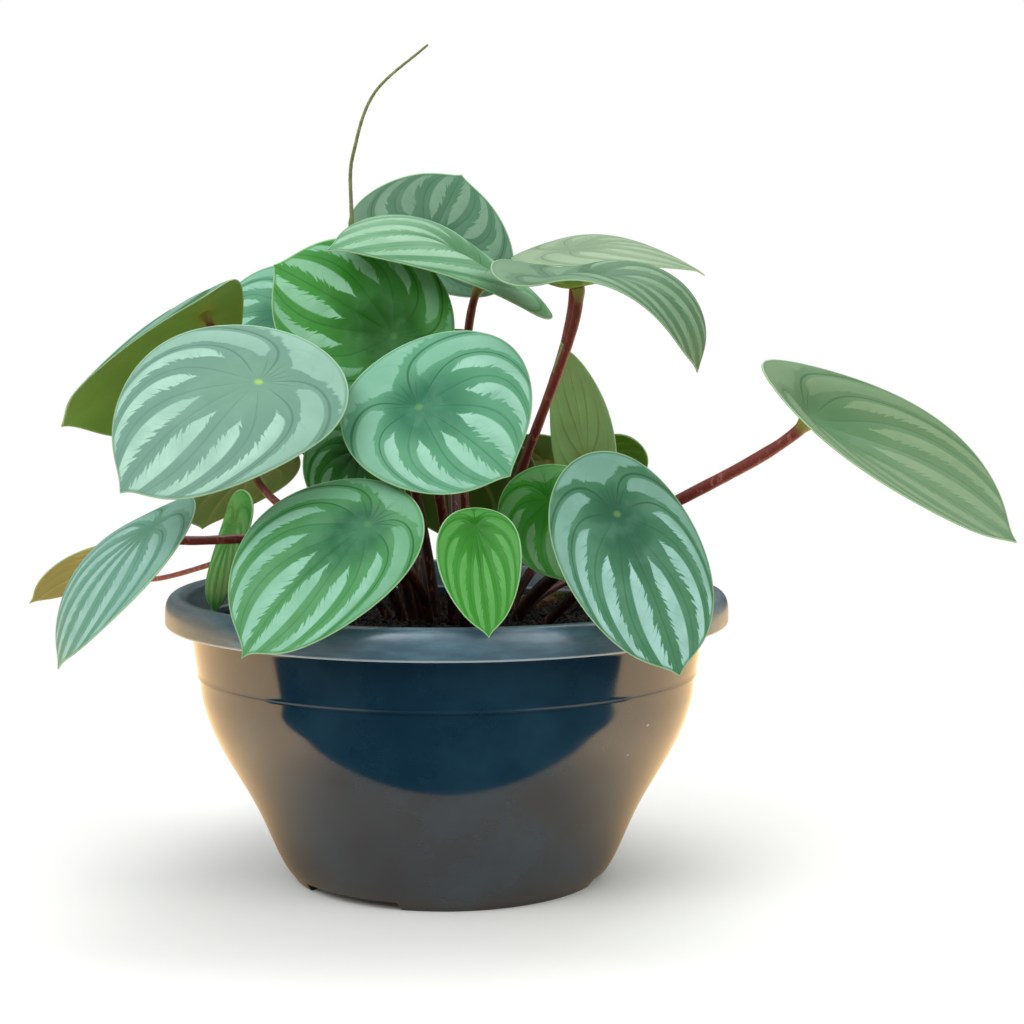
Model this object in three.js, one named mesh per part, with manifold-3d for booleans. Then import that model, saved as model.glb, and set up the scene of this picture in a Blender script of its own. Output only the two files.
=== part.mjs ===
// A watermelon peperomia growing in a round plastic bowl planter.
// Millimetres, +Z up. The planter stands on z = 0 round the Z axis, and -Y is the side towards the viewer.
import * as THREE from "three";
import { mergeVertices } from "three/addons/utils/BufferGeometryUtils.js";
import Module from "manifold-3d";

const wasm = await Module();
wasm.setup();

// Planter: a bowl 208 mm across its rolled lip and 106 mm tall
const POT_HEIGHT = 106;
const LIP_RADIUS = 104;
const LIP_DROP = 11;
const LIP_TOP_WIDTH = 4.5;
const MOUTH_RADIUS = 96;
const BAND_RADIUS = 95;
const RIDGE_RADIUS = 92.6;
const RIDGE_HEIGHT = 77;
const WALL = 2.2;
const POT_SEGMENTS = 40;

// Planter: its foot ring with three drain notches, and the holes in its floor
const FOOT_RADIUS = 58;
const FOOT_INNER_RADIUS = 50;
const FLOOR_UNDERSIDE = 3.2;
const FLOOR_TOP = 6;
const NOTCH_WIDTH = 42;
const NOTCH_ANGLES = [-38, 82, 202];
const DRAIN_HOLES = 6;
const DRAIN_RADIUS = 4;
const DRAIN_CIRCLE_RADIUS = 32;

// Soil, and what lies on it
const GAP = 0.3;
const SOIL_RADIUS = 91.6;
const SOIL_RIM_HEIGHT = 91;
const SOIL_MOUND = 4;
const SOIL_LUMP = 1.2;
const SOIL_RINGS = [0.85, 0.68, 0.5, 0.33, 0.16, 0];
const MOSS_PLACE = [50, 62];
const MOSS_HALF_SIZE = [15, 10, 4];
const BARK_PLACE = [34, 44];
const BARK_SIZE = [20, 9, 4];

// Blades: 0.8 mm thick nets of spokes and rings round the navel, where the petiole joins
const BLADE_THICKNESS = 0.8;
const BLADE_SPOKES = 24;
const BLADE_RINGS = [0.3, 0.68, 1];
const HEEL_SHARE = 0.42;
const HEEL_BEND = 0.25;
const TIP_SHARE = 0.07;
const TIP_SPREAD = 0.18;
const TAPER = 0.22;
const TAPER_SPREAD = 0.32;
const EGG = 0.06;
const NAVEL_DISH = 1.5;
const DISH_SHARE = 0.4;
const RIPPLE = 0.8;

// Petioles and the flower spike
const PETIOLE_RADIUS = 1.7;
const PETIOLE_FOOT_SWELL = 1.15;
const PETIOLE_TOP_TAPER = 0.9;
const PETIOLE_STEPS = 8;
const STEM_SIDES = 6;
const RISE = 0.4;
const APPROACH = 0.3;
const ROOT_DEPTH = 12;
const HOLE_CLEARANCE = 0.7;
const SPIKE_RADIUS = 1.4;
const SPIKE_TIP_RADIUS = 0.5;
const SPIKE_STEPS = 24;
const SPIKE_ROOT = [-2, 16];
const SPIKE_ROUTE = [
  [-14, 34, 150],
  [-33, 42, 215],
  [-37, 40, 255],
  [-35, 35, 272],
  [-27, 30, 292],
  [-7, 25, 309],
];

// Every leaf. navel and tip are places, face is the way its upper side looks, and width is across the blade.
// droop is the angle that its midrib bends through from navel to tip, and fall the angle that each half
// hangs below the midrib (or rises above it, if less than 0). heel is the length behind the navel as a
// share of the length before it, egg how much broader the heel half is, taper how much the tip is drawn in,
// sway how far the midrib curves to its left, lop how much broader its left half is, bend the share of the
// droop that the heel has, and dish how deep the navel lies. The petiole stands in the soil at root, is stem
// thick, rises by the share rise of its reach and nears the blade from the share approach of it.
const LEAVES = [
  {
    name: "front_left",
    navel: [-62, -80, 185.5], tip: [-105.5, -92, 149], face: [-0.15, -0.82, 0.55], width: 67,
    droop: 25, fall: 12, heel: 0.42, taper: 0.3, sway: -0.3, root: [-8, -6],
  },
  {
    name: "front_centre",
    navel: [-9.5, -78, 177], tip: [20.5, -88, 154], face: [0.05, -0.9, 0.42], width: 66,
    droop: 20, fall: 12, heel: 0.6, sway: 0.1, lop: 0.14, root: [2, -10],
  },
  {
    name: "mid_left",
    navel: [-18, -45, 200], tip: [-60, -42, 224], face: [0, -0.92, 0.38], width: 60,
    droop: 20, fall: 10, root: [-4, 0],
  },
  {
    name: "top_arched",
    navel: [20, -10, 227], tip: [-41, -52, 228], face: [0.15, -0.5, 0.86], width: 56,
    droop: 60, fall: 28, heel: 0.36, egg: 0.3, dish: 11, approach: 0.1, root: [6, 2],
  },
  {
    name: "top_back",
    navel: [-7, 40, 235], tip: [6, 51, 263], face: [0.05, -0.85, 0.4], width: 66,
    droop: 15, fall: 14, heel: 0.5, egg: 0.3, root: [4, 14],
  },
  {
    name: "right_front",
    navel: [43, -50, 223.5], tip: [85.5, -62, 187.5], face: [0.35, -0.3, 0.89], width: 57,
    droop: 105, fall: 8, heel: 0.44, bend: -0.7, dish: 7, approach: 0.12, root: [14, -2],
  },
  {
    name: "right_back",
    navel: [47, 26, 234], tip: [99, 31, 223], face: [0, -0.22, 0.97], width: 58,
    droop: 45, fall: 10, root: [14, 12],
  },
  {
    name: "upper_left",
    navel: [-92, 20, 209], tip: [-143, 8, 166], face: [-0.55, 0.46, 0.66], width: 75,
    droop: 26, fall: 58, heel: 0.26, sway: -0.42, lop: 0.08, root: [-12, 8],
  },
  {
    name: "behind_left",
    navel: [-62, 55, 211], tip: [-100, 62, 190], face: [-0.1, -0.8, 0.6], width: 50,
    droop: 20, fall: 10, root: [-6, 12],
  },
  {
    name: "low_left",
    navel: [-101, -60, 136], tip: [-130.5, -75, 89], face: [-0.73, -0.46, 0.5], width: 50,
    droop: 52, fall: 12, heel: 0.3, sway: 0.2, lop: 0.08, rise: 0.6, approach: 0.15, root: [-16, -4],
  },
  {
    name: "far_left",
    navel: [-134, 102, 109], tip: [-180, 119, 86], face: [-0.35, 0.75, 0.55], width: 25,
    droop: 20, fall: 12, taper: 0.4, stem: 1.1, rise: 0.6, root: [-14, 16],
  },
  {
    name: "inner_left",
    navel: [-78, -20, 132], tip: [-84, -26, 101], face: [-0.85, -0.4, 0.3], width: 32,
    droop: 15, fall: 12, root: [-20, 2],
  },
  {
    name: "low_front_left",
    navel: [-26, -92, 139.5], tip: [-66, -107, 97.5], face: [0, -0.75, 0.65], width: 53,
    droop: 20, fall: 14, heel: 0.27, taper: 0.55, egg: 0.1, sway: -0.15, lop: -0.1, root: [-6, -14],
  },
  {
    name: "small_centre",
    navel: [9, -94, 139], tip: [13, -110, 104], face: [0, -0.85, 0.5], width: 27,
    droop: 15, fall: -14, heel: 0.16, egg: 0.25, root: [6, -16],
  },
  {
    name: "low_front_right",
    navel: [56, -85, 142], tip: [74.5, -107, 91], face: [0.12, -0.8, 0.6], width: 51,
    droop: 25, fall: 18, sweep: [41, -12], root: [24, -8],
  },
  {
    name: "low_right",
    navel: [35, -53, 144], tip: [41, -65, 116], face: [-0.1, -0.85, 0.5], width: 38,
    droop: 15, fall: 10, egg: 0.15, root: [12, -6],
  },
  {
    name: "folded_right",
    navel: [54, 15, 152], tip: [43, 15, 198], face: [0.45, 0.83, 0.3], width: 27,
    droop: 15, fall: 25, egg: 0.25, taper: 0.4, root: [20, 8],
  },
  {
    name: "olive_right",
    navel: [58, 40, 150], tip: [78, 45, 143], face: [0.3, 0.8, 0.5], width: 40,
    droop: 15, fall: 15, root: [22, 14],
  },
  {
    name: "far_right",
    navel: [123, -82, 177], tip: [183, -106, 134], face: [0.44, -0.46, 0.77], width: 63,
    droop: -10, fall: -20, dish: 6, taper: 0.05, heel: 0.3, egg: -0.1, sway: 0.08, lop: 0.06,
    stem: 2.2, rise: 0.25, approach: 0.18, root: [22, 0],
  },
  {
    name: "behind_centre",
    navel: [4, -30, 188], tip: [7, -42, 158], face: [0, -0.8, 0.6], width: 44,
    droop: 15, fall: 10, heel: 0.5, root: [8, -4],
  },
  {
    name: "inner_centre",
    navel: [-30, -52, 162], tip: [-33, -66, 136], face: [0, -0.8, 0.6], width: 38,
    droop: 15, fall: 10, root: [-12, -12],
  },
  {
    name: "back_left",
    navel: [-55, 84, 180], tip: [-80, 104, 148], face: [-0.4, 0.6, 0.7], width: 56,
    droop: 30, fall: 12, root: [-8, 22],
  },
  {
    name: "back_centre",
    navel: [6, 76, 152], tip: [10, 104, 110], face: [0.05, 0.8, 0.6], width: 60,
    droop: 30, fall: 12, root: [4, 24],
  },
  {
    name: "back_right",
    navel: [42, 78, 150], tip: [60, 104, 118], face: [0.4, 0.7, 0.6], width: 54,
    droop: 25, fall: 12, root: [16, 22],
  },
  {
    name: "low_right_back",
    navel: [72, 48, 122], tip: [96, 62, 98], face: [0.6, 0.4, 0.7], width: 52,
    droop: 25, fall: 12, root: [26, 16],
  },
  {
    name: "low_left_back",
    navel: [-78, 55, 148], tip: [-100, 72, 122], face: [-0.6, 0.5, 0.65], width: 54,
    droop: 25, fall: 12, root: [-16, 22],
  },
  {
    name: "low_back",
    navel: [-30, 99, 135], tip: [-45, 117, 98], face: [-0.2, 0.8, 0.55], width: 52,
    droop: 25, fall: 12, root: [-4, 28],
  },
];

const degrees = THREE.MathUtils.degToRad;

// A geometry as a solid that can be cut and joined.
function solidOf(geometry) {
  const bare = geometry.clone();
  bare.deleteAttribute("normal");
  bare.deleteAttribute("uv");
  const merged = mergeVertices(bare, 1e-4);
  return new wasm.Manifold(new wasm.Mesh({
    numProp: 3,
    vertProperties: merged.attributes.position.array,
    triVerts: new Uint32Array(merged.index.array),
  }));
}

// A solid as a geometry that a mesh can show.
function geometryOf(solid) {
  const mesh = solid.getMesh();
  const geometry = new THREE.BufferGeometry();
  geometry.setAttribute("position", new THREE.BufferAttribute(mesh.vertProperties, 3));
  geometry.setIndex(new THREE.BufferAttribute(mesh.triVerts, 1));
  return geometry;
}

function namedMesh(name, geometry, color, roughness) {
  const material = new THREE.MeshStandardMaterial({ color, roughness, metalness: 0 });
  const mesh = new THREE.Mesh(geometry, material);
  mesh.name = name;
  return mesh;
}

// A profile of radius and height, turned round the Z axis.
function turned(profile) {
  const geometry = new THREE.LatheGeometry(profile.getPoints(2), POT_SEGMENTS);
  geometry.rotateX(Math.PI / 2);
  return geometry;
}

// The planter's side from foot to ridge, as radius and height
const POT_SIDE = [
  new THREE.Vector2(63, 8),
  new THREE.Vector2(72, 28),
  new THREE.Vector2(85, 51),
  new THREE.Vector2(91.5, RIDGE_HEIGHT - 1),
];

function sideMovedIn(distance) {
  return POT_SIDE.map((point) => new THREE.Vector2(point.x - distance, point.y));
}

function potGeometry() {
  const lipUnderside = POT_HEIGHT - LIP_DROP;
  const inside = sideMovedIn(WALL).reverse();
  const profile = new THREE.Path();
  profile.moveTo(0, FLOOR_UNDERSIDE);
  profile.lineTo(FOOT_INNER_RADIUS, FLOOR_UNDERSIDE);
  profile.lineTo(FOOT_INNER_RADIUS + 0.5, 0);
  profile.lineTo(FOOT_RADIUS, 0);
  profile.splineThru(POT_SIDE);
  profile.lineTo(RIDGE_RADIUS, RIDGE_HEIGHT);
  profile.lineTo(BAND_RADIUS, lipUnderside - 1);
  profile.lineTo(LIP_RADIUS - 3, lipUnderside);
  profile.quadraticCurveTo(LIP_RADIUS, lipUnderside, LIP_RADIUS, lipUnderside + 4);
  profile.quadraticCurveTo(LIP_RADIUS, POT_HEIGHT, LIP_RADIUS - LIP_TOP_WIDTH, POT_HEIGHT);
  profile.quadraticCurveTo(MOUTH_RADIUS, POT_HEIGHT, MOUTH_RADIUS - 0.6, POT_HEIGHT - 4);
  profile.lineTo(BAND_RADIUS - WALL, lipUnderside - 2);
  profile.lineTo(inside[0].x, inside[0].y);
  profile.splineThru(inside.slice(1));
  profile.lineTo(0, FLOOR_TOP);

  let pot = solidOf(turned(profile));
  for (const angle of NOTCH_ANGLES) {
    const notch = new THREE.BoxGeometry(NOTCH_WIDTH, 30, 2 * FLOOR_UNDERSIDE);
    notch.translate(0, -FOOT_RADIUS - 3, 0);
    notch.rotateZ(degrees(angle));
    pot = pot.subtract(solidOf(notch));
  }
  for (let hole = 0; hole < DRAIN_HOLES; hole += 1) {
    const drill = new THREE.CylinderGeometry(DRAIN_RADIUS, DRAIN_RADIUS, 2 * FLOOR_TOP, 12);
    drill.rotateX(Math.PI / 2);
    drill.translate(DRAIN_CIRCLE_RADIUS, 0, FLOOR_UNDERSIDE);
    drill.rotateZ((2 * Math.PI * hole) / DRAIN_HOLES);
    pot = pot.subtract(solidOf(drill));
  }
  return geometryOf(pot);
}

// Height of the soil at a place: mounded towards the middle and a little lumpy.
function soilHeight(x, y) {
  const share = Math.min(Math.hypot(x, y) / SOIL_RADIUS, 1);
  const lumps = Math.sin(x / 6 + 1) * Math.cos(y / 8) + 0.5 * Math.sin((x - y) / 4);
  return SOIL_RIM_HEIGHT + SOIL_MOUND * (1 - share ** 2) + SOIL_LUMP * lumps * (1 - share ** 4);
}

// The soil fills the planter, with a plain hole for every stem.
function soilSolid(stems) {
  const inside = sideMovedIn(WALL + GAP);
  const profile = new THREE.Path();
  profile.moveTo(0, FLOOR_TOP + GAP);
  profile.lineTo(inside[0].x - GAP, inside[0].y + GAP);
  profile.splineThru(inside.slice(1));
  profile.lineTo(SOIL_RADIUS, SOIL_RIM_HEIGHT);
  for (const share of SOIL_RINGS) profile.lineTo(SOIL_RADIUS * share, SOIL_RIM_HEIGHT + 1);
  const geometry = turned(profile);
  const position = geometry.attributes.position;
  for (let i = 0; i < position.count; i += 1) {
    if (position.getZ(i) > SOIL_RIM_HEIGHT + 0.5) {
      position.setZ(i, soilHeight(position.getX(i), position.getY(i)));
    }
  }
  let soil = solidOf(geometry);
  for (const stem of stems) {
    const radius = stem.footRadius + HOLE_CLEARANCE;
    const hole = stemGeometry({ ...stem, footRadius: radius, topRadius: radius });
    hole.translate(0, 0, -2 * GAP);
    soil = soil.subtract(solidOf(hole));
  }
  return soil;
}

// A piece that lies on the soil: what stands out of it, a little clear of it.
function lyingOn(soil, geometry) {
  return geometryOf(solidOf(geometry).subtract(soil.translate([0, 0, GAP])));
}

function mossGeometry(soil) {
  const [x, y] = MOSS_PLACE;
  const clump = new THREE.SphereGeometry(1, 16, 10);
  clump.rotateX(Math.PI / 2);
  const position = clump.attributes.position;
  const point = new THREE.Vector3();
  for (let i = 0; i < position.count; i += 1) {
    point.fromBufferAttribute(position, i);
    point.multiplyScalar(1 + 0.12 * Math.sin(9 * point.x) * Math.cos(8 * point.y));
    position.setXYZ(i, point.x, point.y, point.z);
  }
  clump.scale(...MOSS_HALF_SIZE);
  clump.translate(x, y, soilHeight(x, y));
  return lyingOn(soil, clump);
}

function barkGeometry(soil) {
  const [x, y] = BARK_PLACE;
  const chip = new THREE.BoxGeometry(...BARK_SIZE);
  chip.rotateX(degrees(7));
  chip.rotateZ(degrees(35));
  chip.translate(x, y, soilHeight(x, y) + BARK_SIZE[2] / 3);
  return lyingOn(soil, chip);
}

// A blade's frame and sizes: along points to the tip, across to its left and up out of its upper side.
function bladeShape(leaf) {
  const navel = new THREE.Vector3(...leaf.navel);
  const tip = new THREE.Vector3(...leaf.tip);
  const droop = degrees(leaf.droop);
  const chord = tip.clone().sub(navel);
  const front = (chord.length() * droop) / 2 / Math.sin(droop / 2);
  chord.normalize();
  const face = new THREE.Vector3(...leaf.face).projectOnPlane(chord).normalize();
  const along = chord.clone().multiplyScalar(Math.cos(droop / 2)).addScaledVector(face, Math.sin(droop / 2));
  const up = face.clone().multiplyScalar(Math.cos(droop / 2)).addScaledVector(chord, -Math.sin(droop / 2));
  return {
    navel,
    along,
    up,
    across: up.clone().cross(along),
    front,
    heel: front * (leaf.heel ?? HEEL_SHARE),
    half: leaf.width / 2,
    egg: leaf.egg ?? EGG,
    taper: leaf.taper ?? TAPER,
    sway: leaf.sway ?? 0,
    lop: leaf.lop ?? 0,
    droop,
    bend: leaf.bend ?? HEEL_BEND,
    fall: degrees(leaf.fall),
    dish: leaf.dish ?? NAVEL_DISH,
    phase: leaf.navel[0],
  };
}

// The blade's egg-shaped outline with its drawn-out tip, before it is bent. Angle 0 is the tip, pi the heel.
function outline(shape, angle) {
  const body = (shape.front * (1 - TIP_SHARE) + shape.heel) / 2;
  const point = TIP_SHARE * shape.front * Math.exp(-Math.abs(angle) / TIP_SPREAD);
  const waist = 1 - shape.taper * Math.exp(-((angle / TAPER_SPREAD) ** 2));
  const half = shape.half * (1 + shape.lop * Math.sign(angle));
  return {
    forward: body - shape.heel + body * Math.cos(angle) + point,
    sideways: half * Math.sin(angle) * (1 - shape.egg * Math.cos(angle)) * waist,
  };
}

// The bent blade's point at a share of the way from navel to outline, lifted off its middle layer.
function bladePoint(shape, share, angle, lift) {
  const rim = outline(shape, angle);
  const droop = rim.forward > 0 ? shape.droop : shape.droop * shape.bend;
  const forward = rim.forward * share;
  const sideways = rim.sideways * share + shape.sway * forward * (1 - Math.max(forward, 0) / shape.front);
  const turn = (droop * forward) / shape.front;
  const lean = (shape.fall * sideways) / shape.half;
  const bend = shape.front / droop;
  const arch = shape.half / shape.fall;
  const { up, along, across } = shape;
  const normal = up.clone().multiplyScalar(Math.cos(turn)).addScaledVector(along, Math.sin(turn));
  const out = normal.clone().multiplyScalar(Math.cos(lean)).addScaledVector(across, Math.sin(lean));
  const dish = -shape.dish * Math.exp(-((share / DISH_SHARE) ** 2));
  const ripple = RIPPLE * share ** 3 * Math.sin(3 * angle + shape.phase);
  return shape.navel.clone()
    .addScaledVector(along, Math.sin(turn) * bend)
    .addScaledVector(up, (Math.cos(turn) - 1) * bend)
    .addScaledVector(across, Math.sin(lean) * arch)
    .addScaledVector(normal, (Math.cos(lean) - 1) * arch)
    .addScaledVector(out, dish + ripple + lift);
}

// Two nets from the navel out, one for each face and split alike, closed round the edge.
function bladeGeometry(leaf) {
  const shape = bladeShape(leaf);
  const points = [];
  for (const lift of [BLADE_THICKNESS / 2, -BLADE_THICKNESS / 2]) {
    points.push(bladePoint(shape, 0, 0, lift));
    for (const share of BLADE_RINGS) {
      for (let spoke = 0; spoke < BLADE_SPOKES; spoke += 1) {
        const angle = (2 * Math.PI * spoke) / BLADE_SPOKES - Math.PI;
        points.push(bladePoint(shape, share, angle, lift));
      }
    }
  }
  const underside = points.length / 2;
  const edge = BLADE_RINGS.length - 1;
  const at = (ring, spoke) => 1 + ring * BLADE_SPOKES + (spoke % BLADE_SPOKES);
  const triangles = [];
  const onBothFaces = (a, b, c) => triangles.push(a, b, c, underside + a, underside + c, underside + b);
  for (let spoke = 0; spoke < BLADE_SPOKES; spoke += 1) {
    onBothFaces(0, at(0, spoke), at(0, spoke + 1));
    for (let ring = 1; ring <= edge; ring += 1) {
      onBothFaces(at(ring - 1, spoke), at(ring, spoke), at(ring, spoke + 1));
      onBothFaces(at(ring - 1, spoke), at(ring, spoke + 1), at(ring - 1, spoke + 1));
    }
    const here = at(edge, spoke);
    const next = at(edge, spoke + 1);
    triangles.push(here, underside + here, underside + next);
    triangles.push(here, underside + next, next);
  }
  const geometry = new THREE.BufferGeometry().setFromPoints(points);
  geometry.setIndex(triangles);
  return geometry;
}

// A round stem: an upright cylinder laid along its curve, tapering from foot to top.
function stemGeometry({ curve, footRadius, topRadius, steps }) {
  const geometry = new THREE.CylinderGeometry(topRadius, footRadius, 1, STEM_SIDES, steps);
  const frames = curve.computeFrenetFrames(steps, false);
  const position = geometry.attributes.position;
  for (let i = 0; i < position.count; i += 1) {
    const step = Math.round((position.getY(i) + 0.5) * steps);
    const point = curve.getPointAt(step / steps)
      .addScaledVector(frames.normals[step], position.getX(i))
      .addScaledVector(frames.binormals[step], -position.getZ(i));
    position.setXYZ(i, point.x, point.y, point.z);
  }
  return geometry;
}

function footOf([x, y]) {
  return new THREE.Vector3(x, y, soilHeight(x, y) - ROOT_DEPTH);
}

// A petiole rises out of the soil and meets the underside of its blade square on, at the navel.
function petioleOf(leaf) {
  const { navel, up, dish } = bladeShape(leaf);
  const end = navel.clone().addScaledVector(up, -dish - BLADE_THICKNESS / 2 - GAP);
  const foot = footOf(leaf.root);
  const reach = end.distanceTo(foot);
  const [sweepX, sweepY] = leaf.sweep ?? [0, 0];
  const rise = foot.clone().add(new THREE.Vector3(sweepX, sweepY, reach * (leaf.rise ?? RISE)));
  const approach = end.clone().addScaledVector(up, -reach * (leaf.approach ?? APPROACH));
  const radius = leaf.stem ?? PETIOLE_RADIUS;
  return {
    curve: new THREE.CubicBezierCurve3(foot, rise, approach, end),
    footRadius: radius * PETIOLE_FOOT_SWELL,
    topRadius: radius * PETIOLE_TOP_TAPER,
    steps: PETIOLE_STEPS,
  };
}

function flowerSpike() {
  const route = SPIKE_ROUTE.map((place) => new THREE.Vector3(...place));
  return {
    curve: new THREE.CatmullRomCurve3([footOf(SPIKE_ROOT), ...route]),
    footRadius: SPIKE_RADIUS,
    topRadius: SPIKE_TIP_RADIUS,
    steps: SPIKE_STEPS,
  };
}

function planterGroup(stems) {
  const group = new THREE.Group();
  const soil = soilSolid(stems);
  group.add(namedMesh("pot", potGeometry(), "#0b1c2c", 0.25));
  group.add(namedMesh("soil", geometryOf(soil), "#1a140e", 0.95));
  group.add(namedMesh("moss_clump", mossGeometry(soil), "#6f7a35", 0.95));
  group.add(namedMesh("bark_chip", barkGeometry(soil), "#4a3322", 0.9));
  return group;
}

function leafGroup(leaf, petiole) {
  const group = new THREE.Group();
  group.add(namedMesh(`blade_${leaf.name}`, bladeGeometry(leaf), "#6da37e", 0.4));
  group.add(namedMesh(`petiole_${leaf.name}`, stemGeometry(petiole), "#5a1c1c", 0.5));
  return group;
}

const petioles = LEAVES.map(petioleOf);
const spike = flowerSpike();
const plant = new THREE.Group();
plant.add(planterGroup([...petioles, spike]));
LEAVES.forEach((leaf, i) => plant.add(leafGroup(leaf, petioles[i])));
plant.add(namedMesh("flower_spike", stemGeometry(spike), "#6f8238", 0.6));

export default plant;
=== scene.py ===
"""Looks of a watermelon peperomia in a round bowl planter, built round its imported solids.

Metres, +Z up. The planter stands on z = 0 round the Z axis, and -Y is the side towards the viewer.
Sizes are written in millimetres, times MM. Tables and lists that say so leave the MM to their reader.
"""

import math
from types import SimpleNamespace

import bmesh
import bpy
import numpy as np
from mathutils import Matrix, Vector


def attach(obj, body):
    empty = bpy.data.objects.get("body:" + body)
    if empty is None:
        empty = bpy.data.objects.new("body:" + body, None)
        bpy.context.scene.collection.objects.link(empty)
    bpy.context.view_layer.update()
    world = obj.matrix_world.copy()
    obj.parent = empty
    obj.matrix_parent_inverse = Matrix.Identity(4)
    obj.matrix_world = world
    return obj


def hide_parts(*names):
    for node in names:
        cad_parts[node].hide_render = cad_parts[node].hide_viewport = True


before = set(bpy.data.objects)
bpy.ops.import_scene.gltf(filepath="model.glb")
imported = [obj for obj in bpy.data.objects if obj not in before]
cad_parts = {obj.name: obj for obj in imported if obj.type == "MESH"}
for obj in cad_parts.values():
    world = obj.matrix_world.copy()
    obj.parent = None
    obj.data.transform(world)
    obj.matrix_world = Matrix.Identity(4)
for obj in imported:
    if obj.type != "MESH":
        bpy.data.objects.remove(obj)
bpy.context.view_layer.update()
MM = 0.001


# The planter
# One injection-moulded bowl of dark blue polypropylene, 208 mm across, with a rolled lip to carry it by.
# The band under the lip ends in a small ridge, and the foot ring has three notches that let water out.

POT_HEIGHT = 106 * MM
LIP_RADIUS = 104 * MM
LIP_UNDERSIDE = POT_HEIGHT - 11 * MM
LIP_TOP_WIDTH = 4.5 * MM
LIP_FACE = 4 * MM
HEM_WIDTH = 3 * MM
HEM_ROUNDING = 1.2 * MM
# The hem's pale line is a painted highlight along its edge; this is its width and its height above the lip's
# underside.
HEM_HIGHLIGHT = 0.4 * MM
MOUTH_RADIUS = 96 * MM
MOUTH_DROP = 4 * MM
MOUTH_STEP = 0.6 * MM
BAND_RADIUS = 95 * MM
BAND_TOP = LIP_UNDERSIDE - MM
BAND_STEP = 0.3 * MM
RIDGE_RADIUS = 92.6 * MM
RIDGE_HEIGHT = 77 * MM
RIDGE_DEPTH = 0.8 * MM
BEVEL = 0.4 * MM
WALL = 2.2 * MM
FOOT_RADIUS = 58 * MM
FOOT_INNER_RADIUS = 50 * MM
FOOT_BEVEL = 0.5 * MM
FLOOR_UNDERSIDE = 3.2 * MM
FLOOR_TOP = 6 * MM
NOTCH_WIDTH = 42 * MM
NOTCH_LENGTH = 30 * MM
NOTCH_OUTSET = 3 * MM
NOTCH_ANGLES = (-38, 82, 202)
DRAIN_HOLES = 6
DRAIN_RADIUS = 4 * MM
DRAIN_CIRCLE_RADIUS = 32 * MM
DRAIN_SEGMENTS = 32
POT_SEGMENTS = 240
POT_CREASE = math.radians(38)
POT_SIDE = ((63 * MM, 8 * MM), (72 * MM, 28 * MM), (85 * MM, 51 * MM), (90.3 * MM, 65 * MM),
            (91.9 * MM, RIDGE_HEIGHT - MM))


def linear(hex_colour):
    """A colour as paint charts give it, as the shader wants it."""
    channels = [int(hex_colour[i:i + 2], 16) / 255 for i in (1, 3, 5)]
    return tuple(c / 12.92 if c < 0.04045 else ((c + 0.055) / 1.055) ** 2.4 for c in channels) + (1.0,)


def add_node(tree, kind, inputs=(), **settings):
    """A new node, with its settings made and each input given a value or joined to a socket."""
    node = tree.nodes.new(kind)
    for name, value in settings.items():
        setattr(node, name, value)
    for name, value in dict(inputs).items():
        if isinstance(value, bpy.types.NodeSocket):
            tree.links.new(value, node.inputs[name])
        else:
            node.inputs[name].default_value = value
    return node


def next_node(kind, inputs, **settings):
    """A new node in the tree that the sockets among its inputs come from."""
    tree = next(value.node.id_data for value in inputs.values() if isinstance(value, bpy.types.NodeSocket))
    return add_node(tree, kind, inputs, **settings)


def maths(operation, *values):
    return next_node("ShaderNodeMath", dict(enumerate(values)), operation=operation).outputs[0]


def plus(first, second):
    return maths("ADD", first, second)


def minus(first, second):
    return maths("SUBTRACT", first, second)


def times(first, second):
    return maths("MULTIPLY", first, second)


def ramp(value, low, high, at_low=0, at_high=1):
    """A smooth step from at_low to at_high while the value goes from low to high."""
    node = next_node("ShaderNodeMapRange", {
        "Value": value, "From Min": low, "From Max": high, "To Min": at_low, "To Max": at_high,
    }, interpolation_type="SMOOTHSTEP")
    return node.outputs["Result"]


def mixed(share, first, second):
    """The first colour, giving way to the second as the share goes from 0 to 1."""
    first, second = (linear(colour) if isinstance(colour, str) else colour for colour in (first, second))
    node = next_node("ShaderNodeMix", {0: share, 6: first, 7: second}, data_type="RGBA")
    return node.outputs[2]


def noise(place, scale, detail=2, roughness=0.5):
    node = next_node("ShaderNodeTexNoise", {
        "Vector": place, "Scale": scale, "Detail": detail, "Roughness": roughness,
    })
    return node.outputs["Fac"]


def stretched(place, scale):
    """A place read by a pattern that is squeezed by the scale along each axis."""
    return next_node("ShaderNodeMapping", {"Vector": place, "Scale": scale}).outputs["Vector"]


def own_place(tree):
    return add_node(tree, "ShaderNodeTexCoord").outputs["Object"]


def relief(height, depth):
    node = next_node("ShaderNodeBump", {"Height": height, "Distance": depth, "Strength": 1})
    return node.outputs["Normal"]


def new_material(name, roughness, **fixed):
    """A material with a plain shader, whose tree the caller fills in."""
    material = bpy.data.materials.new(name)
    material.use_nodes = True
    shader = material.node_tree.nodes["Principled BSDF"]
    shader.inputs["Roughness"].default_value = roughness
    for name, value in fixed.items():
        shader.inputs[name.replace("_", " ")].default_value = value
    return material, material.node_tree, shader


def joined(socket, shader, name):
    shader.id_data.links.new(socket, shader.inputs[name])


def placed(name, data):
    """A new object in the scene."""
    thing = bpy.data.objects.new(name, data)
    bpy.context.collection.objects.link(thing)
    return thing


def new_piece(name, mesh, replaced=None, material=None):
    """A finished piece of the plant or planter, and the solid of the frame that it stands for, if any."""
    piece = placed(name, mesh)
    if material:
        mesh.materials.append(material)
    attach(piece, "root")
    if replaced:
        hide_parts(replaced)


def mesh_of(shape, name):
    """The worked shape as a mesh, with its working copy given back."""
    mesh = bpy.data.meshes.new(name)
    shape.to_mesh(mesh)
    shape.free()
    return mesh


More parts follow.
